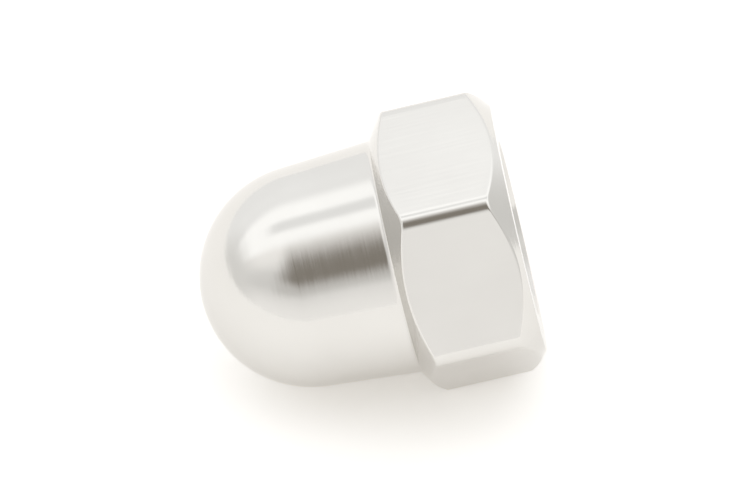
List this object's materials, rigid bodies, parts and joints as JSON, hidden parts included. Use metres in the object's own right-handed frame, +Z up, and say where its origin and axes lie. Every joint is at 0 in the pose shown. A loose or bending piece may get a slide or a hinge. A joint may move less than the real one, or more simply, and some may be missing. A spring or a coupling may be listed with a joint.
{
  "type": "cap nut",
  "caption": "Hexagon nut closed by a smooth round dome, with a blind tapped hole that covers the end of a bolt or stud.",
  "frame": {"origin": "on the table that the nut lies on, under the middle of its box", "axes": "+Z up from the table, +X from the dome towards the bearing face, +Y along the hexagon's width across corners; the nut's own axis lies in the XZ plane, tipped 10.7 degrees so that the bearing face looks slightly up"},
  "size_m": [0.0104, 0.009, 0.0085],
  "materials": {
    "plated_metal": "gloss"
  },
  "bodies": {
    "root": {"cap_nut": "plated_metal"}
  },
  "joints": []
}
